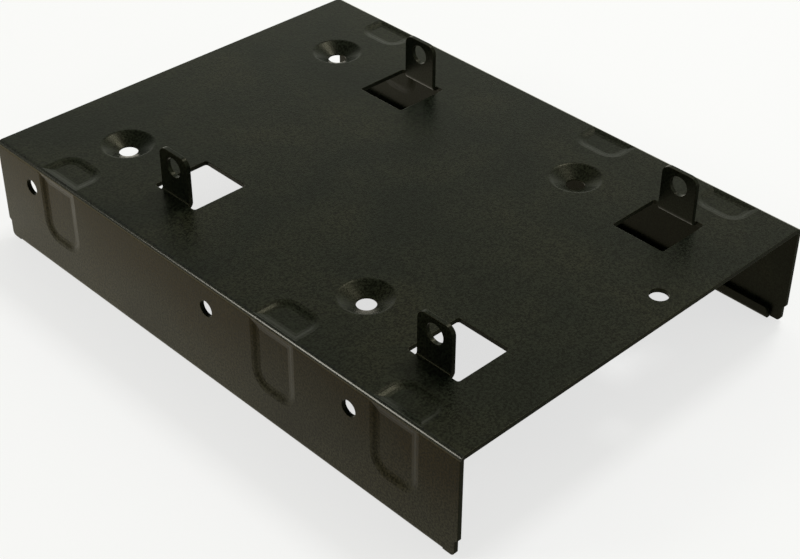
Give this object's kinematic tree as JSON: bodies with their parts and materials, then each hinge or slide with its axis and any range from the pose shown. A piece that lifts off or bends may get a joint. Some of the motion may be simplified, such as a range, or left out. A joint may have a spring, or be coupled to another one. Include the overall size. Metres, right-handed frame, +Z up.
{
  "type": "drive bay adapter bracket",
  "caption": "Folded sheet steel bracket with hemmed side flanges and bent-up tabs, which holds a small drive in a larger drive bay.",
  "frame": {"origin": "under the middle of the bracket, on the surface that its hems stand on", "axes": "+Z up, out of the plate on the side of the tabs; X across the bracket, from flange to flange; Y along it, with the connector end of the bay at -Y"},
  "size_m": [0.1016, 0.142, 0.0356],
  "materials": {
    "black_paint": "black powder coat with a fine grain and a low gloss, over folded steel sheet"
  },
  "bodies": {
    "root": {"bracket": "black_paint"}
  },
  "joints": []
}
